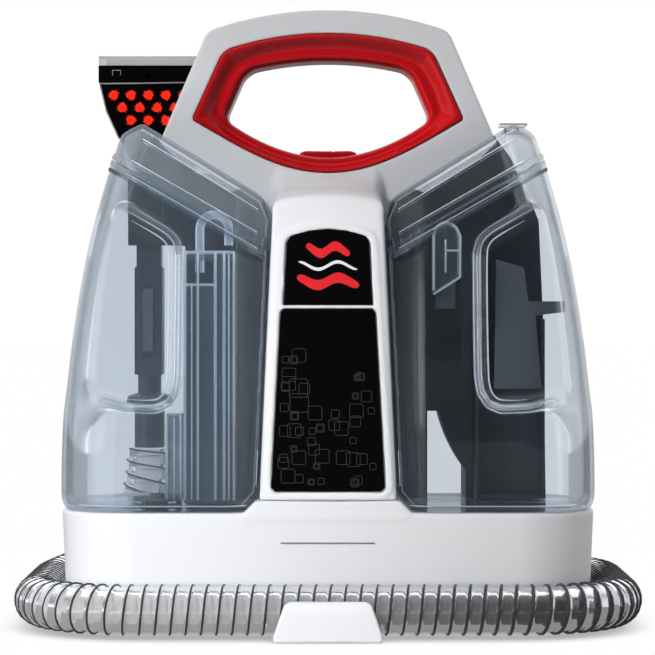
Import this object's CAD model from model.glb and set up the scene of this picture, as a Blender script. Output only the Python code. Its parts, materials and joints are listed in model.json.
# A portable spot cleaner. X runs left to right, the front faces -Y and Z is up from the floor.
# The base carries a leaning middle column with the handle above it, the clean tank on the
# left (-X) and the recovery tank on the right (+X). The hose runs round the base to the brush
# head at the back left. Shapes are in millimetres; lights, camera and shaders are in metres.
import json
import math
import bpy
import numpy as np
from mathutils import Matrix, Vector


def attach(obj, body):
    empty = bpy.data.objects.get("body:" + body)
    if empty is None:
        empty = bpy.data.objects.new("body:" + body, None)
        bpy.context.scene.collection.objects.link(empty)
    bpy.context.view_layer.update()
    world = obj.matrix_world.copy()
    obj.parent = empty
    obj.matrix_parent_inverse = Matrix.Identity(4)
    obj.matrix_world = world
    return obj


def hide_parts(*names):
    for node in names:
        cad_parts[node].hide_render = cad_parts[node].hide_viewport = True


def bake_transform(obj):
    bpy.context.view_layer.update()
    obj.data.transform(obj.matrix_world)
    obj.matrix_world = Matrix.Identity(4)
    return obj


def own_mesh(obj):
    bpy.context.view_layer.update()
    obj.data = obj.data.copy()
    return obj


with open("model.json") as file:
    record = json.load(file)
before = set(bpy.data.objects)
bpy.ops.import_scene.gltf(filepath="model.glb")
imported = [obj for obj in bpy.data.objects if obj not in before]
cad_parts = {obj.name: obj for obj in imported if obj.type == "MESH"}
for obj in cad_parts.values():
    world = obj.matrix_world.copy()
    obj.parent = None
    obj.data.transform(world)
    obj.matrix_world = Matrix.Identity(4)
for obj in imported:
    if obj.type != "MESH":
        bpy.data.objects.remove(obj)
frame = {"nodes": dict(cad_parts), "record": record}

MM = 0.001
F32 = np.float32


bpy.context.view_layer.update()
nodes = frame["nodes"]
scene = bpy.context.scene
looks = {}  # materials by name


# ---------------------------------------------------------------- meshes
def add_mesh(name, points, faces, look, body=None, slot=None, replaces=None, smooth=True):
    """Object from points in mm and faces that all have the same number of corners."""
    points = np.asarray(points * MM, F32)
    faces = np.asarray(faces, np.int32)
    corners = faces.shape[1]
    mesh = bpy.data.meshes.new(name)
    mesh.vertices.add(len(points))
    mesh.vertices.foreach_set("co", points.ravel())
    mesh.loops.add(faces.size)
    mesh.loops.foreach_set("vertex_index", faces.ravel())
    mesh.polygons.add(len(faces))
    mesh.polygons.foreach_set("loop_start", np.arange(0, faces.size, corners, dtype=np.int32))
    mesh.polygons.foreach_set("loop_total", np.full(len(faces), corners, np.int32))
    mesh.update(calc_edges=True)
    mesh.validate()
    mesh.polygons.foreach_set("use_smooth", np.full(len(mesh.polygons), smooth))
    thing = bpy.data.objects.new(name, mesh)
    scene.collection.objects.link(thing)
    mesh.materials.append(looks[look])
    if body:
        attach(thing, body)
    if replaces:
        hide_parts(replaces)
    return thing


def join_parts(parts):
    points, faces, count = [], [], 0
    for part_points, part_faces in parts:
        points.append(part_points)
        faces.append(part_faces + count)
        count += len(part_points)
    return np.concatenate(points), np.concatenate(faces)


def surface(distance, low, high, cell):
    """Closed quad mesh of distance(x, y, z) = 0 by surface nets on a grid of the given cell."""
    low, high = np.array(low, float), np.array(high, float)
    counts = np.ceil((high - low) / cell).astype(int) + 1
    x, y, z = [(low[i] + cell * np.arange(counts[i])).astype(F32) for i in range(3)]
    field = distance(x[:, None, None], y[None, :, None], z[None, None, :])
    field = np.array(np.broadcast_to(field, counts), F32)
    field[field == 0] = 1e-5
    # the outermost grid layers are forced outside, so the mesh closes
    for axis in range(3):
        layers = np.moveaxis(field, axis, 0)
        layers[[0, -1]] = np.maximum(layers[[0, -1]], 0.1)
    inside = field < 0
    nx, ny, nz = counts - 1
    corners = [inside[i:nx + i, j:ny + j, k:nz + k]
               for i in (0, 1) for j in (0, 1) for k in (0, 1)]
    mixed = np.logical_or.reduce(corners) & ~np.logical_and.reduce(corners)
    cells = np.argwhere(mixed)
    index = np.full(mixed.shape, -1, np.int32)
    index[mixed] = np.arange(len(cells))

    # one point per mixed cell, at the mean of its edge crossings
    total, hits = np.zeros((len(cells), 3)), np.zeros(len(cells))
    for axis in range(3):
        for i in (0, 1):
            for j in (0, 1):
                start = np.zeros(3, int)
                start[(axis + 1) % 3], start[(axis + 2) % 3] = i, j
                end = start.copy()
                end[axis] = 1
                at_start = field[tuple((cells + start).T)]
                at_end = field[tuple((cells + end).T)]
                crossed = (at_start < 0) != (at_end < 0)
                gap = at_start[crossed] - at_end[crossed]
                part = (at_start[crossed] / gap).astype(float)
                total[crossed] += start + part[:, None] * (end - start)
                hits[crossed] += 1
    points = low + cell * (cells + total / hits[:, None])

    # one quad round each grid edge that crosses the surface
    quads = []
    for axis in range(3):
        second, third = (axis + 1) % 3, (axis + 2) % 3
        near, far = [slice(1, -1)] * 3, [slice(1, -1)] * 3
        near[axis], far[axis] = slice(0, -1), slice(1, None)
        edges = np.argwhere(inside[tuple(near)] != inside[tuple(far)])
        edges[:, second] += 1
        edges[:, third] += 1
        leaving = inside[tuple(edges.T)]
        ring = []
        for i, j in ((-1, -1), (0, -1), (0, 0), (-1, 0)):
            around = edges.copy()
            around[:, second] += i
            around[:, third] += j
            ring.append(index[tuple(around.T)])
        ring = np.stack(ring, 1)
        ring[~leaving] = ring[~leaving][:, ::-1]
        quads.append(ring)
    return points, np.concatenate(quads)


def add_surface(name, distance, low, high, cell, look, body, slot, replaces=None, mirror=False):
    points, quads = surface(distance, low, high, cell)
    if mirror:
        points = points * [-1, 1, 1]
        quads = quads[:, ::-1]
    return add_mesh(name, points, quads, look, body, slot, replaces)


# ---------------------------------------------------------------- distance fields
def round_max(first, second, radius):
    """Intersection with its convex edge rounded."""
    corner = np.hypot(np.maximum(first + radius, 0), np.maximum(second + radius, 0))
    return np.minimum(np.maximum(first, second), -radius) + corner


def soft_min(first, second, blend):
    """Union with a filleted joint."""
    share = np.clip(0.5 + 0.5 * (second - first) / blend, 0, 1)
    return second + (first - second) * share - blend * share * (1 - share)


def soft_max(first, second, blend):
    return -soft_min(-first, -second, blend)


def cut(solid, hole):
    return np.maximum(solid, -hole)


def between(value, low, high):
    return np.maximum(low - value, value - high)


def rod(offsets, radius, along, low, high):
    """Cylinder: offsets are the two distances from its axis."""
    return np.maximum(np.hypot(*offsets) - radius, between(along, low, high))


def half_plane(x, z, point, normal):
    return (x - point[0]) * normal[0] + (z - point[1]) * normal[1]


def right_of_line(x, z, start, end):
    """Signed distance to a line, negative on its left."""
    dx, dz = end[0] - start[0], end[1] - start[1]
    length = math.hypot(dx, dz)
    return (x - start[0]) * (dz / length) - (z - start[1]) * (dx / length)


def convex(x, z, corners, radius):
    """Convex outline, corners anticlockwise as seen from the front, each rounded."""
    outline = None
    for i in range(len(corners)):
        edge = right_of_line(x, z, corners[i], corners[(i + 1) % len(corners)])
        outline = edge if outline is None else round_max(outline, edge, radius)
    return outline


def polygon(x, z, corners):
    """Signed distance to any closed outline."""
    corners = np.array(corners, float)
    x, z = np.broadcast_arrays(x, z)
    squared = np.full(x.shape, 1e9)
    sign = np.ones(x.shape)
    j = len(corners) - 1
    for i in range(len(corners)):
        edge_x, edge_z = corners[j] - corners[i]
        dx, dz = x - corners[i][0], z - corners[i][1]
        part = np.clip((dx * edge_x + dz * edge_z) / (edge_x * edge_x + edge_z * edge_z), 0, 1)
        gap_x, gap_z = dx - edge_x * part, dz - edge_z * part
        squared = np.minimum(squared, gap_x * gap_x + gap_z * gap_z)
        above, below = z >= corners[i][1], z < corners[j][1]
        left = edge_x * dz > edge_z * dx
        sign = np.where((above & below & left) | (~above & ~below & ~left), -sign, sign)
        j = i
    return (sign * np.sqrt(squared)).astype(F32)


def rounded_box(x, y, z, low, high, radius):
    past = [np.abs(value - (start + end) / 2) - (end - start) / 2 + radius
            for value, start, end in zip((x, y, z), low, high)]
    outside = np.sqrt(np.maximum(past[0], 0) ** 2 + np.maximum(past[1], 0) ** 2
                      + np.maximum(past[2], 0) ** 2)
    return outside + np.minimum(np.maximum(np.maximum(past[0], past[1]), past[2]), 0) - radius


def ease(start, end, value):
    """Smooth step from 0 at start to 1 at end."""
    part = np.clip((value - start) / (end - start), 0, 1)
    return (part * part * (3 - 2 * part)).astype(F32)


def bowed(x, middle, square, fourth=0):
    """Height of a curve that is symmetric about x = 0."""
    return middle + square * x * x - fourth * x ** 4


# ---------------------------------------------------------------- tubes
def path_frames(path, reference=None):
    """Tangent, side and up along a path; the reference defaults to the way out from Z."""
    tangent = np.gradient(path, axis=0)
    tangent /= np.linalg.norm(tangent, axis=1)[:, None]
    if reference is None:
        reference = path * [1, 1, 0]
    side = np.cross(tangent, reference)
    side /= np.linalg.norm(side, axis=1)[:, None]
    return tangent, side, np.cross(side, tangent)


def ring_angles(sides):
    return 2 * np.pi * np.arange(sides) / sides


def ring_points(path, radii, side, up, angles):
    """A ring of points at each path point; radii has a row per ring."""
    spokes = (np.cos(angles)[None, :, None] * side[:, None]
              + np.sin(angles)[None, :, None] * up[:, None])
    return (path[:, None] + radii[..., None] * spokes).reshape(-1, 3)


def ring_quads(rings, sides):
    i, k = np.meshgrid(np.arange(rings - 1), np.arange(sides), indexing="ij")
    after = (k + 1) % sides
    quads = (i * sides + k, i * sides + after, (i + 1) * sides + after, (i + 1) * sides + k)
    return np.stack(quads, -1).reshape(-1, 4)


def tube(path, radii, sides, reference=None):
    """Points and triangles of a capped tube; radii is one number or one per path point."""
    path = np.asarray(path, float)
    _, side, up = path_frames(path, reference)
    radii = np.broadcast_to(np.asarray(radii, float), (len(path),))
    points = ring_points(path, radii[:, None], side, up, ring_angles(sides))
    quads = ring_quads(len(path), sides)
    first_cap, last_ring = len(points), (len(path) - 1) * sides
    points = np.concatenate([points, path[:1], path[-1:]])
    k = np.arange(sides)
    after = (k + 1) % sides
    start_cap = np.stack([np.full(sides, first_cap), after, k], 1)
    end_cap = np.stack([np.full(sides, first_cap + 1), last_ring + k, last_ring + after], 1)
    return points, np.concatenate([quads[:, [0, 1, 2]], quads[:, [0, 2, 3]], start_cap, end_cap])


FRONT_REFERENCE = (0.02, 1.0, 0.03)  # nearly Y, so never in line with a path on a front face


def add_tube(name, path, radii, look, body, slot="clear_plastic", sides=8,
             reference=FRONT_REFERENCE, replaces=None):
    points, faces = tube(path, radii, sides, reference)
    return add_mesh(name, points, faces, look, body, slot, replaces)


def bezier(controls, steps):
    """Points of a cubic curve at the given steps from 0 to 1."""
    t = steps[:, None]
    a, b, c, d = (np.array(point, float) for point in controls)
    return a * (1 - t) ** 3 + 3 * b * (1 - t) ** 2 * t + 3 * c * (1 - t) * t * t + d * t ** 3


# ---------------------------------------------------------------- shader helpers
def node(tree, kind, inputs=None, **settings):
    """New shader node; each input is given a value or is linked from a socket."""
    made = tree.nodes.new("ShaderNode" + kind)
    for key, value in settings.items():
        setattr(made, key, value)
    for key, value in (inputs or {}).items():
        if isinstance(value, bpy.types.NodeSocket):
            tree.links.new(value, made.inputs[key])
        else:
            made.inputs[key].default_value = value
    return made


def new_material(name):
    looks[name] = bpy.data.materials.new(name)
    looks[name].use_nodes = True
    tree = looks[name].node_tree
    tree.nodes.clear()
    return tree


def finish_material(tree, shader):
    node(tree, "OutputMaterial", {0: shader})


def rgba(colour):
    return (*colour, 1)


def noise(tree, scale, detail):
    place = node(tree, "TexCoord").outputs["Object"]
    inputs = {"Scale": scale, "Detail": detail, "Vector": place}
    return node(tree, "TexNoise", inputs).outputs["Fac"]


def remap(tree, value, source, target, smooth=False):
    inputs = {"From Min": source[0], "From Max": source[1],
              "To Min": target[0], "To Max": target[1], "Value": value}
    kind = "SMOOTHSTEP" if smooth else "LINEAR"
    return node(tree, "MapRange", inputs, interpolation_type=kind).outputs["Result"]


def noise_range(tree, value, target):
    """Spread the usual range of a noise over the target range."""
    return remap(tree, value, (0.2, 0.8), target)


def maths(tree, operation, *values, clamp=False):
    inputs = dict(enumerate(values))
    return node(tree, "Math", inputs, operation=operation, use_clamp=clamp).outputs[0]


def mix_colour(tree, factor, first, second):
    return node(tree, "Mix", {0: factor, 6: first, 7: second}, data_type="RGBA").outputs[2]


def mix_shader(tree, factor, first, second):
    return node(tree, "MixShader", {0: factor, 1: first, 2: second}).outputs[0]


def scale_colour(tree, colour, factor):
    inputs = {0: colour, "Scale": factor}
    return node(tree, "VectorMath", inputs, operation="SCALE").outputs[0]


def position(tree):
    """X, Y and Z sockets of the shaded point."""
    place = node(tree, "NewGeometry").outputs["Position"]
    return node(tree, "SeparateXYZ", {0: place}).outputs


def plastic(name, colour, roughness, variation, bump=0.0, bump_scale=900.0,
            variation_scale=14.0, metallic=0.0, specular=0.5, glow=0.0, fade=None, shade=0.0):
    """Opaque plastic, rubber or metal, slightly uneven in colour and roughness."""
    tree = new_material(name)
    colour = np.array(colour)
    base = mix_colour(tree, noise(tree, variation_scale, 4.0),
                      rgba(np.clip(colour * (1 - variation), 0, 1)),
                      rgba(np.clip(colour * (1 + variation), 0, 1)))
    tinted = base
    if shade:
        # darker on faces that turn away from the upper left
        normal = node(tree, "NewGeometry").outputs["Normal"]
        facing = node(tree, "VectorMath", {0: normal, 1: (-0.72, 0.0, 0.66)},
                      operation="DOT_PRODUCT").outputs["Value"]
        level = maths(tree, "MULTIPLY_ADD", facing, shade, 0.84)
        level = node(tree, "Clamp", {"Min": 0.32, "Max": 1.12, "Value": level}).outputs[0]
        tinted = scale_colour(tree, base, level)
    if fade:
        # darker from start to end, measured along x * lean, plus z where the fade climbs
        x, _, z = position(tree)
        height = z if fade["climbs"] else 0.0
        along = maths(tree, "MULTIPLY_ADD", x, fade["lean"], height)
        level = remap(tree, along, (fade["start"], fade["end"]), (1.0, fade["level"]), True)
        tinted = scale_colour(tree, base, level)
    patches = noise(tree, 60.0, 5.0)
    inputs = {"Base Color": tinted, "Roughness": noise_range(tree, patches, roughness),
              "Metallic": metallic, "Specular IOR Level": specular, "Coat Roughness": 0.06}
    if glow:
        inputs.update({"Emission Color": base, "Emission Strength": glow})
    if bump:
        grain = noise(tree, bump_scale, 2.0)
        relief = {"Strength": bump, "Distance": 0.0002, "Height": grain}
        inputs["Normal"] = node(tree, "Bump", relief).outputs["Normal"]
    finish_material(tree, node(tree, "BsdfPrincipled", inputs).outputs[0])


def clear(name, tint, haze, haze_colour, roughness, edge, shine,
          ior=1.45, side_haze=0.0, glow=0.0, drift=None):
    """Thin clear plastic: tinted see-through, a little milk, and a Fresnel shine."""
    tree = new_material(name)
    tint = np.array(tint)
    tinted = mix_colour(tree, noise(tree, 9.0, 3.0), rgba(np.clip(tint * 0.985, 0, 1)),
                        rgba(np.clip(tint * 1.01, 0, 1)))
    # glancing paths go through more plastic, so they darken
    facing = node(tree, "LayerWeight", {"Blend": 0.25}).outputs["Facing"]
    through = node(tree, "BsdfTransparent",
                   {"Color": mix_colour(tree, facing, tinted, rgba(tint * edge))}).outputs[0]
    patches = noise(tree, 30.0, 3.0)
    cloud = noise_range(tree, patches, (haze * 0.9, haze * 1.1))
    cloud = maths(tree, "MULTIPLY_ADD", facing, side_haze, cloud, clamp=True)
    milk_colour = rgba(haze_colour)
    if drift:
        # colour and cloudiness change along X, from start to end
        part = remap(tree, position(tree)[0], (drift["start"], drift["end"]), (0.0, 1.0), True)
        milk_colour = mix_colour(tree, part, milk_colour, rgba(drift["colour"]))
        cloud = maths(tree, "MULTIPLY_ADD", part, drift["haze"], cloud, clamp=True)
    milk = mix_shader(tree, 0.5, node(tree, "BsdfDiffuse", {"Color": milk_colour}).outputs[0],
                      node(tree, "BsdfTranslucent", {"Color": milk_colour}).outputs[0])
    matter = mix_shader(tree, cloud, through, milk)
    polish = noise_range(tree, patches, (roughness * 0.7, roughness * 1.6))
    gloss = node(tree, "BsdfGlossy",
                 {"Color": (0.95, 0.97, 1, 1), "Roughness": polish}).outputs[0]
    fresnel = node(tree, "Fresnel", {"IOR": ior}).outputs[0]
    shader = mix_shader(tree, maths(tree, "MULTIPLY", fresnel, shine), matter, gloss)
    if glow:
        light = node(tree, "Emission", {"Color": rgba(haze_colour), "Strength": glow})
        shader = node(tree, "AddShader", {0: shader, 1: light.outputs[0]}).outputs[0]
    finish_material(tree, shader)


# ---------------------------------------------------------------- materials
WHITE = ((0.80, 0.81, 0.83), (0.27, 0.31), 0.004)
WHITE_GRAIN = dict(bump=0.015, bump_scale=500, specular=0.30)
UPPER_FADE = dict(start=0.21, end=0.325, level=0.75, lean=0.35, climbs=True)
BASE_FADE = dict(start=-0.10, end=0.13, level=0.80, lean=1.0, climbs=False)

# name, (colour, roughness range, colour variation), further settings
PLASTICS = (
    ("white_abs", WHITE, WHITE_GRAIN),
    ("white_abs_upper", WHITE, dict(WHITE_GRAIN, fade=UPPER_FADE)),
    ("white_abs_base", WHITE, dict(WHITE_GRAIN, fade=BASE_FADE)),
    ("red_abs", ((0.55, 0.004, 0.008), (0.24, 0.29), 0.02),
     dict(bump=0.02, specular=0.25, shade=0.80)),
    ("black_gloss", ((0.002, 0.002, 0.0024), (0.10, 0.15), 0.1), dict(specular=0.16)),
    ("dark_plastic", ((0.014, 0.018, 0.022), (0.36, 0.42), 0.06),
     dict(bump=0.03, bump_scale=1400)),
    ("dark_slate_plastic", ((0.026, 0.034, 0.042), (0.25, 0.35), 0.08), dict(bump=0.1)),
    ("grey_plastic", ((0.11, 0.125, 0.14), (0.34, 0.4), 0.08), dict(bump=0.06, bump_scale=1400)),
    ("black_rubber", ((0.018, 0.018, 0.019), (0.55, 0.75), 0.15),
     dict(bump=0.4, bump_scale=1800, specular=0.3)),
    ("cord_rubber", ((0.016, 0.016, 0.017), (0.4, 0.5), 0.1), dict(bump=0.15)),
    ("steel", ((0.55, 0.55, 0.57), (0.22, 0.38), 0.05),
     dict(metallic=1.0, bump=0.1, bump_scale=300)),
    ("fan_aluminium", ((0.68, 0.68, 0.7), (0.3, 0.42), 0.05), dict(metallic=1.0)),
    ("filter_foam", ((0.035, 0.035, 0.038), (0.85, 0.98), 0.35),
     dict(bump=1.0, bump_scale=700, variation_scale=300)),
    ("float_slate", ((0.045, 0.055, 0.065), (0.35, 0.45), 0.05), {}),
    ("bristle_red", ((0.95, 0.055, 0.02), (0.4, 0.55), 0.12),
     dict(bump=0.3, bump_scale=1500, variation_scale=120, glow=0.30)),
    ("icon_red", ((0.75, 0.02, 0.025), (0.25, 0.3), 0.03), {}),
    ("panel_line_grey", ((0.030, 0.030, 0.032), (0.3, 0.4), 0.1), {}),
    ("mark_grey", ((0.03, 0.03, 0.035), (0.4, 0.5), 0.1), {}),
    ("mark_white", ((0.8, 0.8, 0.8), (0.25, 0.3), 0.02), {}),
    ("head_edge_grey", ((0.34, 0.34, 0.34), (0.2, 0.3), 0.1), {}),
    ("hose_wire", ((0.028, 0.028, 0.029), (0.3, 0.4), 0.1), {}),
)
for name, main, further in PLASTICS:
    plastic(name, *main, **further)

HOSE_DRIFT = dict(start=-0.11, end=0.14, colour=(0.085, 0.085, 0.087), haze=0.30)

# name, (tint, haze, haze colour, roughness, tint left at glancing angles, shine), further
CLEARS = (
    ("tank_clear", ((0.90, 0.917, 0.935), 0.022, (0.40, 0.50, 0.60), 0.02, 0.97, 0.60), {}),
    ("tank_clear_left", ((0.895, 0.92, 0.945), 0.062, (0.48, 0.59, 0.69), 0.02, 0.97, 0.60), {}),
    ("column_clear", ((0.80, 0.825, 0.85), 0.25, (0.36, 0.45, 0.54), 0.05, 0.80, 0.8),
     dict(ior=1.4)),
    ("lid_clear", ((0.88, 0.90, 0.92), 0.19, (0.62, 0.71, 0.78), 0.03, 0.94, 0.55), {}),
    ("lid_clear_right", ((0.90, 0.917, 0.935), 0.035, (0.66, 0.73, 0.78), 0.03, 0.95, 0.50), {}),
    ("clear_plastic", ((0.88, 0.90, 0.915), 0.07, (0.60, 0.66, 0.72), 0.04, 0.7, 1.0), {}),
    ("clear_edge", ((0.80, 0.84, 0.87), 0.34, (0.62, 0.70, 0.77), 0.06, 0.8, 1.0),
     dict(ior=1.5, glow=0.20)),
    ("clear_edge_dark", ((0.42, 0.48, 0.54), 0.25, (0.16, 0.20, 0.25), 0.06, 0.8, 0.8),
     dict(ior=1.5)),
    ("lip_clear", ((0.85, 0.85, 0.85), 0.45, (0.85, 0.85, 0.85), 0.06, 0.6, 1.0), dict(ior=1.5)),
    ("hose_vinyl", ((0.84, 0.84, 0.84), 0.50, (0.95, 0.95, 0.955), 0.10, 0.78, 0.8),
     dict(ior=1.5, side_haze=0.25, drift=HOSE_DRIFT)),
)
for name, main, further in CLEARS:
    clear(name, *main, **further)

# ---------------------------------------------------------------- CAD pieces that stay
# slots whose material has another name
SLOT_LOOKS = {"brass_fan": "fan_aluminium", "float_white": "float_slate"}

# width of the softened edges
BEVELS = {
    "rear_housing": 1.6, "rear_cover": 2.2, "exhaust_grille": 0.5, "cord_hook_lower": 1.2,
    "cord_hook_upper": 1.2, "strain_relief": 0.5, "hose_cuff": 0.8, "tool_holster": 0.8,
    "fill_cap": 0.5, "separator_box": 0.6, "baffle_plate": 0.5, "clean_tank_column": 0.4,
    "float_cage": 0.5, "float": 0.8, "drain_cap": 0.5, "trigger": 0.7, "head_latch": 0.5,
    "head_lip": 2.0, "pump_body": 1.0, "vacuum_motor": 0.8, "motor_mount": 0.6,
    "fan_shroud": 0.6, "bottom_plate": 0.4, "rubber_feet": 0.8, "valve_receiver": 0.5,
    "switch_body": 0.4, "badge_plate": 0.35, "front_panel": 0.35,
}
for subpart in frame["record"]["subparts"]:
    piece, slot = nodes[subpart["node"]], subpart["material_slot"]
    piece.data.materials.clear()
    piece.data.materials.append(looks[SLOT_LOOKS.get(slot, slot)])
    for face in piece.data.polygons:
        face.use_smooth = True
    width = BEVELS.get(subpart["node"])
    if width:
        bevel = piece.modifiers.new("soft_edges", "BEVEL")
        bevel.width = width * MM
        bevel.segments = 2
        bevel.limit_method = "ANGLE"
        bevel.angle_limit = math.radians(35)
        bevel.harden_normals = False
    shading = piece.modifiers.new("flat_shading", "WEIGHTED_NORMAL")
    shading.keep_sharp = True

# pieces whose material is not the one of their slot
PIECE_LOOKS = {
    "separator_box": "dark_slate_plastic", "tool_body": "dark_slate_plastic",
    "tool_head": "black_gloss", "clean_vent_tube": "clear_edge", "head_lip": "lip_clear",
    "clean_lid_seal": "clear_plastic", "recovery_lid_seal": "clear_plastic",
    "drain_cap": "clear_plastic",
}
for name, look in PIECE_LOOKS.items():
    nodes[name].data.materials[0] = looks[look]

# ---------------------------------------------------------------- handle and column outlines
HANDLE_Y = 38.0                # middle of the handle, front to back
HANDLE_CORNER = (95.4, 275.2)  # where its side meets its underside
BASE_TOP = 66.0
COLUMN_FOOT = (-78.6, 66.2)    # y and z of the foot of the leaning face
COLUMN_LOW = 72.9              # bottom of the column
COLUMN_BACK = 19.9
COLUMN_BOW = 0.0016            # how much the face curves from side to side
LEAN = math.atan(9 / 149.1)
LEAN_COS, LEAN_SIN = math.cos(LEAN), math.sin(LEAN)
VALVE_X, VALVE_Y = -95, -30    # axis of the fill valve under the clean tank

# x and height on the column face
BADGE = [(-24, 112.4), (24, 112.4), (22.6, 145.5), (21.2, 148.4), (18, 150), (9, 152.4),
         (0, 153.2), (-9, 152.4), (-18, 150), (-21.2, 148.4), (-22.6, 145.5)]
PANEL = [(-28.5, 11.4), (28.5, 11.4), (30.6, 13.6), (25.6, 108), (24.2, 109.9),
         (-24.2, 109.9), (-25.6, 108), (-30.6, 13.6)]
# bead round badge and panel together
RIM = [(-28.6, 11.4), (28.6, 11.4), (30.6, 13.6)] + BADGE[2:] + [(-30.6, 13.6)]


def handle_faces(x, z):
    """Crown, slanting side and underside of the handle, seen from the front."""
    across = np.abs(x)
    crown = np.hypot(x, z - 142.2) - 204.6
    side = half_plane(across, z, HANDLE_CORNER, (0.9193, 0.3937))
    under = half_plane(across, z, HANDLE_CORNER, (0.4907, -0.8713))
    return crown, side, under


def grip_outer(x, z):
    across = np.abs(x)
    top = np.hypot(x, z - 148.5) - 185
    side = half_plane(across, z, (77.5, 285.1), (0.9101, 0.4143))
    low_side = half_plane(across, z, (78.4, 285.1), (0.9868, -0.1641))
    slope = 0.013 * x - 9.6e-7 * x ** 3
    bottom = (bowed(x, 253.4, 0.0065, 2.4e-7) - z) / np.sqrt(1 + slope * slope)
    outline = round_max(round_max(top, side, 3.5), low_side, 1.5)
    return round_max(outline, bottom, 2.0)


def grip_hole(x, z):
    across = np.abs(x)
    top = np.hypot(x, z - 130.7) - 187.2
    side = half_plane(across, z, (58.6, 285.1), (0.9162, 0.4006))
    low_side = half_plane(across, z, (58.6, 285.1), (0.96, -0.28))
    bottom = (bowed(x, 262.8, 0.0062) - z) / np.sqrt(1 + (0.0124 * x) ** 2)
    return round_max(round_max(round_max(top, side, 5), low_side, 3.5), bottom, 3)


def column_out(y, z):
    """Distance out of the column's leaning front face."""
    return -((y - COLUMN_FOOT[0]) * LEAN_COS - (z - COLUMN_FOOT[1]) * LEAN_SIN)


# ---------------------------------------------------------------- upper shell
def column(x, y, z):
    face = column_out(y, z) + COLUMN_BOW * x * x
    # half width by height
    half_width = np.interp(z, [60, COLUMN_LOW, 226, 300], [37.6, 37.1, 30.3, 30.3]).astype(F32)
    top = 238.6 - 0.0038 * x * x + 0.10 * (y + 64) + 0.0022 * np.maximum(y + 10, 0) ** 2
    solid = round_max(face, np.abs(x) - half_width, 2.4)
    solid = round_max(solid, z - top, 5.0)
    solid = round_max(solid, COLUMN_LOW - z, 0.8)
    return np.maximum(solid, y - COLUMN_BACK)


def upper_body(x, y, z):
    across = np.abs(x)
    crown, side, under = handle_faces(x, z)
    outline = round_max(round_max(crown, side, 12), np.maximum(under, 244.2 - z), 4)
    plate = round_max(outline, np.abs(y - HANDLE_Y) - 18.0, 9.0)
    # front wall reaches down behind the tank lids
    wall = np.maximum(round_max(np.maximum(crown, 236.5 - z), side + 0.6, 3), under - 5.5)
    wall = round_max(wall, np.abs(y - 24.0) - 7.2, 1.4)
    wall = np.maximum(wall, np.where((outline > -1.0), y - 20.3, -1))
    # the fillet between handle and column widens towards the middle of the handle
    fillet = 9.0 + 19.0 * ease(234, 248, z) * (1 - ease(26, 40, across))
    solid = soft_min(plate, column(x, y, z), fillet)
    back = np.where(z < 243.6, y - COLUMN_BACK, -1)
    solid = np.maximum(solid, np.maximum(COLUMN_LOW - z, back))
    solid = soft_min(solid, wall, 1.5)
    # webs that close the gap between column and tanks from behind
    web = convex(across, z, [(24, 218), (31.2, 218), (36.6, 238.6), (36.6, 245), (24, 245)], 0.5)
    web = np.maximum(web, np.abs(y - 18.5) - 1.4)
    return soft_min(solid, web, 1.0)


def upper_shell(x, y, z):
    shell = upper_body(x, y, z)
    out = column_out(y, z)
    bow = -COLUMN_BOW * x * x
    up_face = (z - COLUMN_FOOT[1]) / LEAN_COS
    only_front = np.where(y < -50, 0, 50)  # keeps both features off the back
    bead = round_max(polygon(x, up_face, RIM) - 4.6, np.abs(out - bow) - 1.1, 1.0)
    shell = soft_min(shell, bead + only_front, 1.2)
    plates = np.minimum(polygon(x, up_face, BADGE) - 0.35, polygon(x, up_face, PANEL) - 0.35)
    well = np.maximum(plates, -(out + 2.1)) + only_front
    shell = soft_max(shell, -well, 0.6)
    # seat for the grip
    shell = soft_max(shell, -(grip_outer(x, z) - 0.15), 1.0)
    # bore the switch cap's stem works in
    return cut(shell, rod((x, y - HANDLE_Y), 4.4, z, 238, 258))


add_surface("upper_shell", upper_shell, (-100, -84, 70), (100, 60, 350), 1.0,
            "white_abs_upper", "machine", "white_abs", "upper_housing")

# ---------------------------------------------------------------- base
BASE_HALF_WIDTH, BASE_HALF_DEPTH, BASE_CORNER = 147.0, 78.0, 43.0
PEDESTAL = [(-45.2, 61), (45.2, 61), (45.2, 66.2), (39.0, 72.6), (-39.0, 72.6), (-45.2, 66.2)]


def base_housing(x, y, z):
    draft = (BASE_TOP - z) * 0.04
    past_x = np.abs(x) - (BASE_HALF_WIDTH - draft) + BASE_CORNER
    past_y = np.abs(y) - (BASE_HALF_DEPTH - draft * 0.8) + BASE_CORNER
    plan = (np.hypot(np.maximum(past_x, 0), np.maximum(past_y, 0))
            + np.minimum(np.maximum(past_x, past_y), 0) - BASE_CORNER)
    solid = round_max(round_max(plan, z - BASE_TOP, 2.2), 4.0 - z, 1.5)
    pedestal = convex(x, z, PEDESTAL, 1.0)
    front = -y - BASE_HALF_DEPTH + np.maximum(BASE_TOP - z, 0) * 0.032 + 0.1
    pedestal = round_max(pedestal, np.maximum(front, y - COLUMN_BACK), 1.6)
    solid = soft_min(solid, pedestal, 1.5)
    # well round the fill valve, and the hollow below
    well = np.maximum(np.hypot(x - VALVE_X, y - VALVE_Y) - 24.2, 44.0 - z)
    hollow = np.maximum(plan + 3.0, between(z, -20, 63.0))
    return cut(cut(solid, well), hollow)


add_surface("base_housing", base_housing, (-150, -82, 2), (150, 82, 75), 1.15,
            "white_abs_base", "machine", "white_abs", "base_shell")


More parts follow.
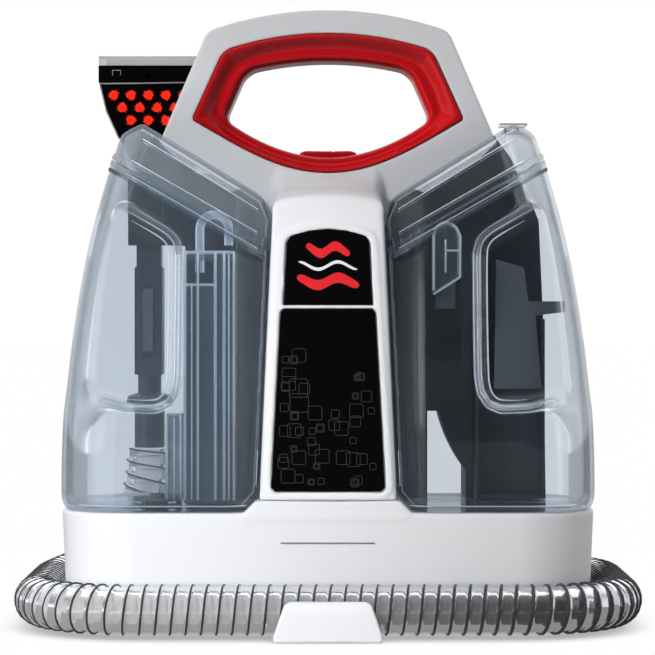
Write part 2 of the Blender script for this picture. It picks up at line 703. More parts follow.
# ---------------------------------------------------------------- grip, switch and hose rest
def grip_ring(x, y, z):
    outer, hole = grip_outer(x, z), grip_hole(x, z)
    # across the band: a thin outer lip, a sloping channel, then a bead round the hole
    part = np.clip(-outer / (-outer + np.maximum(hole, 0) + 1e-3), 0, 1)
    depth = 4.4 * ease(0.05, 0.55, part) - 1.9 * ease(0.60, 0.90, part)
    faces = (np.abs(y - HANDLE_Y) - 21.0 + depth) * 0.95
    ring = cut(round_max(outer, faces, 1.8), hole)
    ring = np.maximum(ring, round_max(-hole, faces, 7.0))
    pocket = np.maximum(np.abs(x) - 17.3, np.abs(y - HANDLE_Y) - 8.3)
    return cut(ring, np.maximum(pocket, between(z, 257, 275)))


def switch_tab(x, y, z):
    tab = rounded_box(x, y, z, (-17, 30, 259.6), (17, 46, 275), 1.4)
    tab = round_max(tab, z - bowed(x, 266.6, 0.0012), 1.4)
    tab = round_max(tab, (np.abs(x) - 17) * 0.6 + (z - 265.2) * 0.8, 2.0)
    stem = rod((x, y - HANDLE_Y), 2.6, z, 254.3, 262)
    groove = np.maximum(np.abs(x - 3.0) - 0.35, 266.0 - z)
    return np.minimum(cut(tab, groove), stem)


def hose_rest(x, y, z):
    outline = convex(x, z, [(-30.0, 0.2), (30.0, 0.2), (22.6, 21.6), (-22.6, 21.6)], 3.2)
    middle_y = -111.5 + 0.0008 * x * x + 0.045 * np.maximum(z - 15, 0) ** 2
    lip = round_max(outline, np.abs(y - middle_y) - 1.9, 1.4)
    arm = rounded_box(x, y, z, (-28.0, -112.4, 0.3), (28.0, -66, 1.4), 0.4)
    return soft_min(lip, arm, 1.2)


add_surface("grip_ring", grip_ring, (-82, 14, 250), (82, 62, 337), 0.8,
            "red_abs", "machine", "red_abs", "handle_grip")
add_surface("switch_tab", switch_tab, (-19, 28, 252), (19, 48, 270), 0.4,
            "red_abs", "switch_button", "red_abs", "power_switch")
add_surface("hose_rest", hose_rest, (-31, -116, -0.6), (31, -64, 24), 0.4,
            "white_abs", "machine", "white_abs", "hose_clip")

# ---------------------------------------------------------------- tanks
# Both tanks are drawn on the right; the clean one is mirrored to the left.
SIDES = (("clean", -1), ("recovery", 1))
TANK_GRID = ((28, -81, 57), (150, 19, 281), 1.05)  # low and high corners, cell
TANK_WALL = 2.4
SEAM_SLOPE, SEAM_SCALE = 0.573, 0.8676  # slope of the body-lid seam, height to distance
TANK_PEAK = (102.4, 278.3)

# x and z of the shallow recess in the front of a tank
RECESS = [(82.8, 140), (84.2, 131), (88, 125.2), (94, 122.8), (110, 123.5), (128, 128),
          (175, 146), (175, 262), (128, 239), (109.3, 229.6), (98, 223.2), (88.5, 217.6),
          (84, 213), (82.2, 206)]


def tank_front(z):
    """Y of the front face, which curves back with height."""
    return -78 + 21 * np.clip((z - 80) / 205, 0, 2) ** 2.2


def tank_outer(x, y, z):
    outer_side = np.hypot(x + 454, z - 80) - 601.4
    top = half_plane(x, z, TANK_PEAK, (-0.5223, 0.8528))
    top_outer = half_plane(x, z, TANK_PEAK, (0.3353, 0.9421))
    inner_high = half_plane(x, z, (35.5, 237.3), (-0.9233, 0.384))
    inner_low = half_plane(x, z, (37.6, 75), (-0.999, -0.045))
    foot_inner = half_plane(x, z, (37.6, 75), (-0.727, -0.686))
    foot_outer = half_plane(x, z, (151, 74), (0.748, -0.663))
    front_y = tank_front(z)
    front = (front_y - y) * 0.99
    chamfer = (x - 52) * -0.651 + (y - front_y) * -0.759
    front_side = round_max(round_max(front, outer_side, 40.0), chamfer, 3.0)
    body = inner_low
    for face, radius in (
            (inner_high, 2.0), (top, 2.0), (top_outer, 1.5), (foot_inner, 1.5),
            (66.1 - z, 1.6), (foot_outer, 2.0),
            ((top + front + 6.5) * 0.7071, 1.0), ((top_outer + front + 5.0) * 0.7071, 1.0),
            (front_side, 2.4), (y - 16.0, 4.0)):
        body = round_max(body, face, radius)
    return body


def recessed_tank(x, y, z):
    recess = round_max(polygon(x, z, RECESS), y + 54.0 - 0.03 * (z - 123), 9.0)
    return soft_max(tank_outer(x, y, z), -recess, 4.0 + 22.0 * ease(112, 142, x))


def above_seam(x, z):
    return (z - (201.7 + SEAM_SLOPE * (x - 20))) * SEAM_SCALE


def tank_skin(outer, x, y, seam):
    """Wall of a tank, thickened by a flange along the seam."""
    flanged = ease(40, 46, x) * (1 - ease(6, 13, y))
    flange = 0.9 * flanged * (1 - ease(3.2, 3.8, np.abs(seam + 0.1)))
    return cut(outer - flange, outer + TANK_WALL)


def tank_body(x, y, z, clean):
    seam = above_seam(x, z)
    shell = np.maximum(tank_skin(recessed_tank(x, y, z), x, y, seam), seam + 0.15)
    if clean:
        # neck over the fill valve
        neck = (x + VALVE_X, y - VALVE_Y)
        shell = np.minimum(shell, rod(neck, 17, z, 59, 69))
        return cut(shell, np.hypot(*neck) - 14)
    # round opening through the back
    return cut(shell, np.maximum(np.hypot(x - 62, z - 236) - 8, -y + 5))


def tank_lid(x, y, z, clean):
    seam = above_seam(x, z)
    outer = tank_outer(x, y, z)
    shell = np.maximum(tank_skin(outer, x, y, seam), 0.15 - seam)
    skirt = np.maximum(between(outer, -4.0, -2.65), between(seam, -5, 4))
    tie = np.maximum(between(outer, -4.0, -2.0), between(seam, 0.6, 4))
    shell = np.minimum(np.minimum(shell, skirt), tie)
    if not clean:
        # round hole in the top
        shell = cut(shell, np.maximum(np.hypot(x - 104, y) - 5.6, 260 - z))
    return shell


for side, sign in SIDES:
    clean = side == "clean"
    for part, shape, replaced, look in (
            ("shell", tank_body, "tank", "tank_clear_left" if clean else "tank_clear"),
            ("top", tank_lid, "tank_lid", "lid_clear" if clean else "lid_clear_right")):
        add_surface("%s_tank_%s" % (side, part), lambda x, y, z: shape(x, y, z, clean),
                    *TANK_GRID, look, side + "_tank_assembly", "tank_clear",
                    "%s_%s" % (side, replaced), mirror=clean)

# ---------------------------------------------------------------- lines round the recesses
# x and z, from the upper end round the inner side to the lower end
RECESS_LINE = [(126, 238)] + RECESS[9:] + RECESS[:5] + [(124, 127)]

# distance out from the recess edge, radius, x where it ends, y at height z
RECESS_EDGES = (
    (3.6, 0.42, 109, lambda z: tank_front(z) + 0.9),
    (0.2, 0.34, 114, lambda z: tank_front(z) * 0.45 - 54 * 0.55 + 1.6),
    (-2.6, 0.42, 114, lambda z: -52.8 + 0.03 * (z - 123)),
)


def offset_path(path, distance):
    """Move a flat path sideways, to its right where the distance is positive."""
    path = np.array(path, float)
    moved = []
    for i in range(len(path)):
        before = path[i] - path[i - 1] if i else path[1] - path[0]
        after = path[i + 1] - path[i] if i < len(path) - 1 else before
        first = np.array([before[1], -before[0]]) / np.linalg.norm(before)
        second = np.array([after[1], -after[0]]) / np.linalg.norm(after)
        normal = first + second
        normal /= np.linalg.norm(normal)
        moved.append(path[i] + normal * distance / max(float(normal @ first), 0.6))
    return np.array(moved)


def smooth_path(path):
    """Cut the corners of a path twice."""
    for _ in range(2):
        finer = [path[0]]
        for start, end in zip(path[:-1], path[1:]):
            finer += [start * 0.75 + end * 0.25, start * 0.25 + end * 0.75]
        finer.append(path[-1])
        path = np.array(finer)
    return path


for side, sign in SIDES:
    for i, (offset, radius, end_x, y_at) in enumerate(RECESS_EDGES):
        outline = smooth_path(offset_path(RECESS_LINE, -offset))
        path = np.array([(sign * x, y_at(z), z) for x, z in outline if x < end_x])
        count = np.arange(len(path))
        taper = np.minimum(count / 6 + 0.15, (len(path) - 1 - count) / 6 + 0.15)
        add_tube("%s_recess_edge_%d" % (side, i), path, radius * np.minimum(1, taper),
                 "clear_edge", side + "_tank_assembly")

# ---------------------------------------------------------------- lines on the tank fronts
SEAM_START, SEAM_END_X = (37.5, 211.8), 113


def seam_line(offset):
    """Ends of a line at a distance above the seam."""
    start_z = SEAM_START[1] + offset / SEAM_SCALE
    end_z = start_z + SEAM_SLOPE * (SEAM_END_X - SEAM_START[0])
    return (SEAM_START[0], start_z), (SEAM_END_X, end_z)


# name, ends as (x, z), look, radius
SKIN_LINES = (
    ("seam_line_0", seam_line(4.6), "clear_edge", 0.30),
    ("seam_line_1", seam_line(3.3), "clear_edge_dark", 0.26),
    ("seam_line_2", seam_line(-3.0), "clear_edge", 0.30),
    ("seam_line_3", seam_line(-4.4), "clear_edge_dark", 0.26),
    ("lid_line_0", ((38.5, 239.1 - 8.6), (101.5, 277.7 - 8.6)), "clear_edge", 0.30),
    ("lid_line_1", ((38.5, 239.1 - 10.2), (101.5, 277.7 - 10.2)), "clear_edge_dark", 0.24),
    ("side_line_0", ((37.0 + 2.2, 80), (31.0 + 2.2, 206)), "clear_edge", 0.26),
    ("side_line_1", ((37.0 + 3.6, 80), (31.0 + 3.6, 206)), "clear_edge_dark", 0.26),
    ("foot_line", ((44, 69.6), (140, 69.6)), "clear_edge", 0.28),
    ("foot_line_low", ((44, 68.4), (140, 68.4)), "clear_edge_dark", 0.22),
)


def front_y_at(x, z):
    """Y where a line running back from the front first meets the tank, or None."""
    y = np.arange(-82, 20, 0.25).astype(F32)
    distance = tank_outer(np.full_like(y, x), y, np.full_like(y, z))
    i = int(np.argmax(distance < 0))
    return float(y[i]) if distance[i] < 0 else None


def skin_path(ends, sign):
    """Points along a straight line, dropped back on to the tank's front face."""
    (start_x, start_z), (end_x, end_z) = ends
    length = np.hypot(end_x - start_x, end_z - start_z)
    along = np.linspace(0, length, 60)
    path = []
    for x, z in zip(np.interp(along, [0, length], [start_x, end_x]),
                    np.interp(along, [0, length], [start_z, end_z])):
        y = front_y_at(x, z)
        # skip points that miss the front or jump away from their neighbour
        if y is None or y >= tank_front(z) + 12:
            continue
        if not path or abs(y - path[-1][1]) < 2.5:
            path.append((sign * x, y, z))
    return path


for side, sign in SIDES:
    for name, ends, look, radius in SKIN_LINES:
        add_tube("%s_%s" % (side, name), skin_path(ends, sign), radius, look,
                 side + "_tank_assembly", sides=6)


# ---------------------------------------------------------------- column in the clean tank
def clean_column(x, y, z):
    solid = rounded_box(x, y, z, (-79.4, -50, 68.9), (-51, -22, 207.5), 1.4)
    hollow = rounded_box(x, y, z, (-78.0, -48.6, 60), (-57.6, -23.4, 206.1), 0.8)
    solid = cut(solid, np.maximum(hollow, -1))
    solid = cut(solid, rounded_box(x, y, z, (-56.2, -48.6, 60), (-52.4, -23.4, 206.1), 0.8))
    for rib_x, radius in ((-78.6, 0.8), (-71.4, 0.8), (-61.8, 0.9), (-57.0, 0.9),
                          (-54.4, 0.6), (-51.8, 0.8)):
        solid = soft_min(solid, rod((x - rib_x, y + 50.2), radius, z, 70, 206.5), 0.5)
    for rail_z, radius in ((204.6, 0.8), (188.6, 0.9)):
        solid = soft_min(solid, rod((z - rail_z, y + 50.1), radius, x, -79, -57.5), 0.5)
    # open windows under the top rail
    for left, right in ((-77.4, -72.6), (-70.2, -63.0)):
        window = rounded_box(x, y, z, (left, -56, 190.4), (right, -46, 202.6), 1.2)
        solid = cut(solid, window)
    # short box on the outer side
    small = rounded_box(x, y, z, (-89.6, -46, 69.8), (-79.8, -30, 118), 1.2)
    small = cut(small, rounded_box(x, y, z, (-88.5, -44.9, 60), (-79.0, -31.1, 116.8), 0.6))
    for rib_x in (-88.6, -84.6, -80.6):
        small = soft_min(small, rod((x - rib_x, y + 46.2), 0.7, z, 70.5, 117), 0.5)
    return np.minimum(solid, small)


add_surface("clean_column_ribs", clean_column, (-91, -52.4, 67.5), (-49.8, -20.8, 208.8), 0.6,
            "column_clear", "clean_tank_assembly", "clear_plastic", "clean_tank_column")

TALL_RIB_Y, SHORT_RIB_Y, RAIL_Y = -51.2, -47.3, -51.0
# x, y, radius, bottom, top
RIBS = (
    (-78.4, TALL_RIB_Y, 0.75, 71, 207), (-74.8, TALL_RIB_Y, 0.45, 71, 190),
    (-71.4, TALL_RIB_Y, 0.75, 71, 206), (-61.8, TALL_RIB_Y, 0.9, 71, 207),
    (-57.0, TALL_RIB_Y, 0.9, 71, 207), (-54.4, TALL_RIB_Y, 0.6, 71, 206),
    (-51.6, TALL_RIB_Y, 0.8, 71, 207), (-88.6, SHORT_RIB_Y, 0.7, 71, 117.5),
    (-84.6, SHORT_RIB_Y, 0.5, 71, 116), (-81.0, SHORT_RIB_Y, 0.7, 71, 117.5),
)
for i, (x, y, radius, bottom, top) in enumerate(RIBS):
    add_tube("column_rib_%d" % i, [(x, y, bottom), (x, y, top)], radius, "clear_edge",
             "clean_tank_assembly")
# name, left, right, z, radius
for name, left, right, z, radius in (("top", -78.8, -51.4, 207, 0.9),
                                     ("low", -78.4, -61.6, 189.2, 0.8)):
    add_tube("column_rail_" + name, [(left, RAIL_Y, z), (right, RAIL_Y, z)], radius,
             "clear_edge", "clean_tank_assembly")

# ---------------------------------------------------------------- float cage
CAGE_X, CAGE_Y, CAGE_LINE_Y = 65, -37, -48.6
# x and z
CAGE = [(57.6, 183), (73, 193), (73, 216), (71.4, 221), (66.5, 224), (62, 223.2),
        (58.4, 220.0), (57.6, 216)]
CAGE_LINES = (
    ("outline", 0.75, [(58.0, 186.0), (58.0, 216.5), (59.2, 220.6), (62.4, 223.0), (66.4, 223.4),
                       (70.6, 220.6), (72.6, 216.0), (72.6, 193.4), (58.0, 184.0)]),
    ("bar", 0.55, [(65.5, 208), (72.6, 208)]),
    ("post", 0.55, [(64.6, 196), (64.6, 214)]),
)


def float_cage(x, y, z):
    outline = convex(x, z, CAGE, 1.6)
    outer = round_max(outline, np.abs(y - CAGE_Y) - 11.0, 1.4)
    hollow = round_max(outline + 1.3, np.abs(y - CAGE_Y) - 9.7, 0.6)
    cage = cut(outer, hollow)
    for bead in (np.hypot(outline + 0.5, y + 48.0) - 0.9,
                 rod((z - 208, y + 48), 0.7, x, 65, 72.6),
                 rod((x - 65, y + 48), 0.7, z, 198, 217)):
        cage = soft_min(cage, bead, 0.4)
    return cut(cage, np.maximum(np.hypot(x - CAGE_X, y - CAGE_Y) - 6.6, z - 205))


for name, radius, line in CAGE_LINES:
    add_tube("cage_" + name, [(x, CAGE_LINE_Y, z) for x, z in line], radius, "clear_edge",
             "recovery_tank_assembly")
add_surface("float_cage_shell", float_cage, (55.5, -50.5, 180.5), (75, -24, 226), 0.55,
            "clear_plastic", "recovery_tank_assembly", "clear_plastic", "float_cage")

# ---------------------------------------------------------------- brush head
HEAD_X = -107
TUFT_ROWS = ((5, 302.6), (4, 295.1), (3, 287.6))  # tufts in the row, z
TUFT_PITCH = 10.4
TUFT_BRISTLES = 64
TUFT_ROOT_RADIUS, TUFT_TIP_RADIUS = 1.7, 3.35
BRISTLE_RADII = [0.42, 0.34, 0.08]  # root, middle, tip
SPIRAL_TURN = 2.399963              # golden angle


def bristle(i, column, row, x, z):
    """One bristle of a tuft, leaning outwards and a little uneven in length."""
    share = (i + 0.5) / TUFT_BRISTLES
    angle = i * SPIRAL_TURN + row + column
    spread = math.sqrt(share)
    root_x = TUFT_ROOT_RADIUS * spread * math.cos(angle)
    root_z = TUFT_ROOT_RADIUS * spread * math.sin(angle)
    uneven = 1.0 + 0.13 * math.sin(7.3 * i + 3.1 * column + row)
    tip_x = TUFT_TIP_RADIUS * uneven * spread * math.cos(angle)
    tip_z = TUFT_TIP_RADIUS * uneven * spread * math.sin(angle)
    root_y = 86.6
    tip_y = 86.0 - (5.6 + 1.2 * math.sin(2.1 * i + column)) * (1 - 0.28 * share)
    middle = (x + (root_x + tip_x) / 2, (root_y + tip_y) / 2, z + (root_z + tip_z) / 2)
    path = [(x + root_x, root_y, z + root_z), middle, (x + tip_x, tip_y, z + tip_z)]
    return tube(path, BRISTLE_RADII, 5, (0.01, 0, 1.0))


bristles = []
for row, (count, z) in enumerate(TUFT_ROWS):
    for column_number in range(count):
        x = HEAD_X + (column_number - (count - 1) / 2) * TUFT_PITCH
        bristles += [bristle(i, column_number, row, x, z) for i in range(TUFT_BRISTLES)]
add_mesh("bristle_tufts", *join_parts(bristles), "bristle_red", "brush_head", "bristle_red",
         "bristles")

HEAD_SIDE = ((28.9, 308), (25.2, 293), (18.0, 277.4), (15.6, 275.6))  # distance from middle, z
# name, radius, y, points as (x, z)
HEAD_LINES = (
    ("band_rib", 0.42, 84.9, [(-136.4, 309.6), (HEAD_X, 309.9), (-77.6, 310.4)]),
    ("side_rib_0", 0.45, 84.9, [(HEAD_X - out, z) for out, z in HEAD_SIDE]),
    ("side_rib_1", 0.45, 84.9, [(HEAD_X + out, z) for out, z in HEAD_SIDE]),
    ("window", 0.25, 84.9, [(-128.6, 314.4), (-128.6, 317.6), (-123.8, 317.6), (-123.8, 314.8)]),
)
for name, radius, y, line in HEAD_LINES:
    add_tube("head_" + name, [(x, y, z) for x, z in line], radius, "head_edge_grey",
             "brush_head", "black_gloss", sides=6, reference=(0.03, 1.0, 0.02))


def holster_rib(x, y, z):
    outline = convex(x, z, [(-98, 213), (-80, 212), (-78, 262), (-84, 267), (-98, 274)], 2.0)
    return round_max(outline, np.abs(y - 68) - 7.0, 1.2)


add_surface("holster_rib", holster_rib, (-99.5, 59, 210), (-76.5, 77, 276), 0.8,
            "dark_plastic", "machine", "dark_plastic")

# ---------------------------------------------------------------- marks on badge and panel
MARK_LIFT = 0.66         # how far the marks stand out from the column's leaning plane
SQUARE_LINE = 0.15       # half the line width of the panel squares
SQUARE_TRIES, SQUARE_COUNT = 400, 46
SQUARE_SIZES = [1.7, 2.2, 2.9, 3.7, 5.0]  # half widths
SQUARE_ODDS = [0.2, 0.28, 0.24, 0.18, 0.1]


def on_face(x, z):
    """A point on the leaning column face."""
    return (x, COLUMN_FOOT[0] - MARK_LIFT * LEAN_COS + z * LEAN_SIN,
            COLUMN_FOOT[1] + z * LEAN_COS)


def square_outline(x, z, half, corner):
    """Rounded square on the column face, six points to a corner."""
    points = []
    for start, right, up in ((0, 1, 1), (90, -1, 1), (180, -1, -1), (270, 1, -1)):
        for i in range(6):
            angle = math.radians(start + 90 * i / 5)
            points.append(on_face(x + right * (half - corner) + corner * math.cos(angle),
                                  z + up * (half - corner) + corner * math.sin(angle)))
    return points


def square_ring(x, z, outer, inner):
    """Flat ring between two squares, each given as half width and corner radius."""
    points = square_outline(x, z, *outer) + square_outline(x, z, *inner)
    count = len(points) // 2
    faces = [(i, (i + 1) % count, count + (i + 1) % count, count + i) for i in range(count)]
    return np.array(points), np.array(faces)


def scatter_squares():
    """Random x, z and half width of the panel squares, denser low down."""
    random = np.random.default_rng(7)
    squares = []
    for _ in range(SQUARE_TRIES):
        z = random.uniform(15, 92)
        side = -1 if random.random() < 0.56 else 1
        panel_half = 29.6 - (z - 13.6) * 0.053
        x = side * random.uniform(3 if z < 55 else 12, panel_half - 2)
        half = random.choice(SQUARE_SIZES, p=SQUARE_ODDS)
        # the short circuit matters: the last draw is made only when it is reached
        if z > 74 and side > 0 or z > 60 and random.random() < 0.4:
            continue
        if abs(x) + half > panel_half - 0.8 or z - half < 12.4:
            continue
        gaps = [math.hypot(x - other[0], z - other[1]) for other in squares]
        if sum(gap < 6.6 for gap in gaps) > 1 or any(gap < 1.6 for gap in gaps):
            continue
        squares.append((x, z, half))
        if len(squares) >= SQUARE_COUNT:
            break
    return squares


rings = []
for x, z, half in scatter_squares():
    rings.append(square_ring(x, z, (half + SQUARE_LINE, 0.5 + 0.2 * half),
                             (half - SQUARE_LINE, 0.2 + 0.2 * half)))
    # some of the small squares get a second ring inside
    if half < 2.5 and (x * 7 + z) % 3 < 1.7:
        rings.append(square_ring(x, z, (half - 0.5, 0.5), (half - 0.8, 0.3)))
add_mesh("panel_squares", *join_parts(rings), "panel_line_grey", "machine", "black_gloss",
         smooth=False)


def wave(middle, half, thickness, swing=2.0, steps=60):
    """Wavy stripe across the badge, narrowing to its ends."""
    top, bottom = [], []
    for i in range(steps + 1):
        x = -half + 2 * half * i / steps
        z = middle + swing * math.sin(x / half * math.pi * 1.5)
        narrow = min(1.0, math.sqrt(max(1 - (abs(x) / half) ** 6, 0)))
        top.append(on_face(x, z + thickness / 2 * narrow))
        bottom.append(on_face(x, z - thickness / 2 * narrow))
    faces = [(i, steps + 1 + i, steps + 2 + i, i + 1) for i in range(steps)]
    return np.array(top + bottom), np.array(faces)


# name, height of the middle, half length, thickness, look, slot
for name, middle, half, thickness, look, slot in (
        ("top", 142.2, 12.0, 5.2, "icon_red", "red_abs"),
        ("mid", 133.6, 16.0, 1.8, "mark_white", "white_abs"),
        ("low", 125.0, 17.0, 5.6, "icon_red", "red_abs")):
    add_mesh("badge_wave_" + name, *wave(middle, half, thickness), look, "machine", slot,
             smooth=False)

add_tube("base_trim_line", [(x, -78.05, 49.8) for x in (-25.6, 0, 25.2)], 0.28, "mark_grey",
         "machine", "dark_plastic", sides=6, reference=(0, 0, 1.0))

# ---------------------------------------------------------------- hose
HOSE_X, HOSE_Y, HOSE_Z = 160.0, 94.0, 15.6  # the run round the base
HOSE_BEND = 58.0                            # bend radius of its corners
HOSE_CORNER = (HOSE_X - HOSE_BEND, HOSE_Y - HOSE_BEND)
HOSE_START_X, HOSE_RISE_Y = 44.2, 30
HOSE_PITCH = 8.24                           # of the wire
HOSE_RADIUS, HOSE_CREST = 12.0, 1.25
HOSE_SIDES = 40
WIRE_OUT, WIRE_RADIUS = 13.30, 0.60         # distance from the hose's middle, wire radius
WIRE_STEPS = 22                             # per turn

# end of the straight run, sides of the corner that follows, its starting angle
HOSE_RUNS = (
    ((HOSE_CORNER[0], HOSE_Y), (1, 1), 90),
    ((HOSE_X, -HOSE_CORNER[1]), (1, -1), 0),
    ((-HOSE_CORNER[0], -HOSE_Y), (-1, -1), -90),
)
# curve from the left side of the base up to the brush head
HOSE_RISE = ((-HOSE_X, HOSE_RISE_Y, HOSE_Z), (-163, 100, HOSE_Z), (HEAD_X, 94, 20),
             (HEAD_X, 94, 91.6))


def straight(points, end):
    """Points every 2 mm or so from the last point to the end."""
    start, end = points[-1], np.array(end, float)
    count = max(int(np.linalg.norm(end - start) / 2.0), 1)
    return [start + (end - start) * i / count for i in range(1, count + 1)]


def hose_path(spacing):
    """Evenly spaced, smoothed points of the hose's middle and their distance along it."""
    points = [np.array([HOSE_START_X, HOSE_Y, HOSE_Z])]
    for end, (right, back), start_angle in HOSE_RUNS:
        points += straight(points, (*end, HOSE_Z))
        for i in range(1, 51):
            angle = math.radians(start_angle - 90 * i / 50)
            points.append(np.array([right * HOSE_CORNER[0] + HOSE_BEND * math.cos(angle),
                                    back * HOSE_CORNER[1] + HOSE_BEND * math.sin(angle),
                                    HOSE_Z]))
    points += straight(points, HOSE_RISE[0])
    points += list(bezier(HOSE_RISE, np.arange(1, 81) / 80))
    points = np.array(points)
    steps = np.linalg.norm(np.diff(points, axis=0), axis=1)
    length = np.concatenate([[0], np.cumsum(steps)])
    along = np.linspace(0, length[-1], int(length[-1] / spacing) + 1)
    path = resample(points, length, along)
    for _ in range(3):
        path[1:-1] = (path[:-2] + path[2:] + 2 * path[1:-1]) / 4
    return path, along


def resample(values, length, along):
    return np.stack([np.interp(along, length, values[:, axis]) for axis in range(3)], 1)


path, along = hose_path(HOSE_PITCH / 10)
tangent, side, up = path_frames(path)

# wall: a crest over the wire, sagging between turns
angles = ring_angles(HOSE_SIDES)
turn = along[:, None] / HOSE_PITCH - angles[None, :] / (2 * np.pi)
turn = turn - np.floor(turn)
crest = np.exp(-((np.minimum(turn, 1 - turn)) / 0.13) ** 2)
hose = add_mesh("hose_wall", ring_points(path, HOSE_RADIUS + HOSE_CREST * crest, side, up, angles),
                ring_quads(len(path), HOSE_SIDES), "hose_vinyl", slot="hose_vinyl",
                replaces="flex_hose")

# wire: follows the crest
turns = np.arange(0, along[-1] / HOSE_PITCH, 1 / WIRE_STEPS)
wire_along = turns * HOSE_PITCH
wire_middle, wire_side, wire_up, wire_tangent = (
    resample(values, along, wire_along) for values in (path, side, up, tangent))
wire_angle = 2 * np.pi * turns
radial = np.cos(wire_angle)[:, None] * wire_side + np.sin(wire_angle)[:, None] * wire_up
# thinner where the hose runs front to back and where it rises, thicker at the front right
wire_radii = (WIRE_RADIUS - 0.24 * ease(0.35, 0.95, np.abs(wire_tangent[:, 1]))
              - 0.12 * ease(18, 30, wire_middle[:, 2])
              + 0.45 * ease(10, 120, wire_middle[:, 0]) * (1 - ease(-60, 40, wire_middle[:, 1])))
wire_out = WIRE_OUT - np.maximum(wire_radii - WIRE_RADIUS, 0)
wire = add_tube("hose_wire", wire_middle + wire_out[:, None] * radial, wire_radii, "hose_wire",
                None, "hose_vinyl", sides=6, reference=radial, replaces="flex_hose")

# solution line inside the hose, below its middle
solution_path = path[::4] + np.array([0, 0, -4.0])
solution = add_tube("hose_solution_line", solution_path[2:-4], 3.2, "clear_plastic", None,
                    sides=12, reference=None, replaces="flex_hose")
for thing in (hose, wire, solution):
    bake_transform(thing)

# ---------------------------------------------------------------- fill valve spring
# it shortens as the valve is pushed open
COIL_TURNS, COIL_RADIUS, COIL_BOTTOM, COIL_HEIGHT = 5.5, 5.9, 60.95, 7.7
angle = np.linspace(0, 2 * np.pi * COIL_TURNS, 5 * 36 + 1)
coil_z = COIL_BOTTOM + COIL_HEIGHT * ease(0.06, 0.94, np.linspace(0, 1, len(angle)))
coil_path = np.stack([VALVE_X + COIL_RADIUS * np.cos(angle),
                      VALVE_Y + COIL_RADIUS * np.sin(angle), coil_z], 1)
coil = add_tube("valve_coil", coil_path, 0.5, "steel", "fill_cap_assembly", "steel",
                reference=np.stack([np.cos(angle), np.sin(angle), 0 * angle], 1),
                replaces="valve_spring")
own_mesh(coil)

# ---------------------------------------------------------------- cord leads
# curve controls, reference direction
CORD_LEADS = (
    (((-20, 80, 90), (-20, 104, 90), (6, 84, 84), (14.4, 85.2, 122)), (0.05, 0.1, 1.0)),
    (((2, 86, 139), (2, 86, 120), (12, 84, 112), (21.6, 85.2, 124)), (0.3, 0.2, -0.9)),
)
for i, (controls, reference) in enumerate(CORD_LEADS):
    add_tube("cord_lead_%d" % i, bezier(controls, np.linspace(0, 1, 24)), 3.2, "cord_rubber",
             "machine", "cord_rubber", sides=14, reference=reference)

# ---------------------------------------------------------------- camera
CAMERA_DISTANCE = 1600           # mm in front of the machine's middle
VIEW_WIDTH = 371.315192744       # mm seen across the picture at that distance
camera_data = bpy.data.cameras.new("camera")
camera = bpy.data.objects.new("camera", camera_data)
scene.collection.objects.link(camera)
scene.camera = camera
camera.location = (0, -1.6, 0.185)
camera.rotation_euler = (math.radians(90), 0, 0)
camera_data.sensor_width = 36
camera_data.lens = 36 * CAMERA_DISTANCE / VIEW_WIDTH
camera_data.shift_y = -0.05358778626
camera_data.shift_x = -0.000763358779
camera_data.clip_end = 20


# ---------------------------------------------------------------- lights
def area_light(name, place, target_z, width, height, power, reflected):
    """Rectangle aimed at a point on the machine's middle axis."""
    data = bpy.data.lights.new(name, "AREA")
    data.shape = "RECTANGLE"
    data.size = width
    data.size_y = height
    data.energy = power
    light = bpy.data.objects.new(name, data)
    scene.collection.objects.link(light)
    light.location = place
    aim = Vector((0, 0, target_z)) - Vector(place)
    light.rotation_euler = aim.to_track_quat("-Z", "Y").to_euler()
    light.visible_glossy = reflected


# name, place, height aimed at, width, height, power, seen in reflections
for row in (
        ("key_left", (-0.50, -0.44, 0.13), 0.11, 0.36, 0.36, 0.45, True),
        ("high_left", (-1.0, -1.3, 1.1), 0.15, 0.4, 0.4, 18.0, False),
        ("right_strip", (0.9, -0.5, 0.4), 0.17, 0.15, 0.9, 0.8, True),
        ("near_front", (-0.14, -0.50, 0.06), 0.05, 0.5, 0.10, 1.05, False),
        ("rear_fill", (0.5, 2.2, 0.9), 0.15, 1.4, 1.4, 30.0, False),
        ("side_fill", (2.2, 0.5, 0.7), 0.15, 1.2, 1.2, 14.0, False)):
    area_light(*row)


# ---------------------------------------------------------------- floor
def floor_material():
    """White to the camera with soft contact shading, a dim even glow to all other rays."""
    tree = new_material("studio_floor")
    shading = node(tree, "AmbientOcclusion", {"Distance": 0.09}, samples=12).outputs["AO"]
    level = remap(tree, shading, (0.0, 0.75), (0.40, 1.0))
    white = mix_colour(tree, noise(tree, 3.0, 2.0), (0.995, 0.995, 0.995, 1), (1, 1, 1, 1))
    seen = node(tree, "Emission", {"Strength": level, "Color": white}).outputs[0]
    cast = node(tree, "Emission", {"Strength": 0.31}).outputs[0]
    to_camera = node(tree, "LightPath").outputs["Is Camera Ray"]
    finish_material(tree, mix_shader(tree, to_camera, cast, seen))


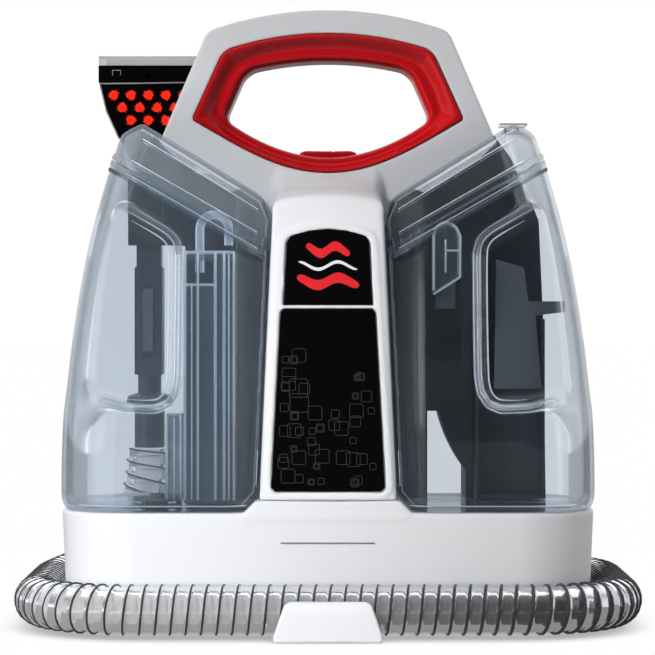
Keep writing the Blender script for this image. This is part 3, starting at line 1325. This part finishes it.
floor_material()
floor_corners = np.array([(-6000, -6000, 0), (6000, -6000, 0), (6000, 9000, 0), (-6000, 9000, 0)])
add_mesh("studio_floor", floor_corners, np.array([[0, 1, 2, 3]]), "studio_floor")


# ---------------------------------------------------------------- world
def build_world():
    """Plain white to the camera, and a soft studio to the rays that light the machine."""
    world = bpy.data.worlds.new("studio")
    scene.world = world
    world.use_nodes = True
    tree = world.node_tree
    tree.nodes.clear()
    rays = node(tree, "LightPath").outputs
    direction = node(tree, "TexCoord").outputs["Generated"]
    x, y, z = node(tree, "SeparateXYZ", {0: direction}).outputs

    def add(first, second):
        return maths(tree, "ADD", first, second)

    def times(first, second):
        return maths(tree, "MULTIPLY", first, second)

    def largest(first, second):
        return maths(tree, "MAXIMUM", first, second)

    def soft(value, start, end, level):
        return remap(tree, value, (start, end), (0.0, level), smooth=True)

    # bright backdrop behind, soft light above, dim round the camera
    strength = add(times(x, -0.07), times(largest(z, 0.0), 0.40))
    strength = largest(add(strength, 0.02), soft(y, -0.25, 0.55, 0.85))
    strength = largest(strength, 0.02)

    # softboxes seen only in reflections: overhead, a tall strip on the left, a weaker right one
    over = soft(z, 0.60, 0.85, 0.9)
    left = times(soft(times(x, -1.0), 0.66, 0.80, 1.0), soft(y, 0.35, -0.15, 1.5))
    left = times(left, soft(z, 0.30, 0.02, 1.0))
    right = times(soft(x, 0.74, 0.86, 1.0), soft(y, 0.30, -0.10, 0.9))
    boxes = times(add(add(over, left), right), rays["Is Glossy Ray"])

    studio = {"Color": (0.97, 0.98, 1, 1), "Strength": add(strength, boxes)}
    plain = {"Color": (1, 1, 1, 1), "Strength": 1.0}
    seen = largest(rays["Is Camera Ray"], rays["Is Transmission Ray"])
    shader = mix_shader(tree, seen, node(tree, "Background", studio).outputs[0],
                        node(tree, "Background", plain).outputs[0])
    node(tree, "OutputWorld", {0: shader})


build_world()

scene.view_settings.view_transform = "Standard"
scene.cycles.transparent_max_bounces = 40
scene.cycles.max_bounces = 14
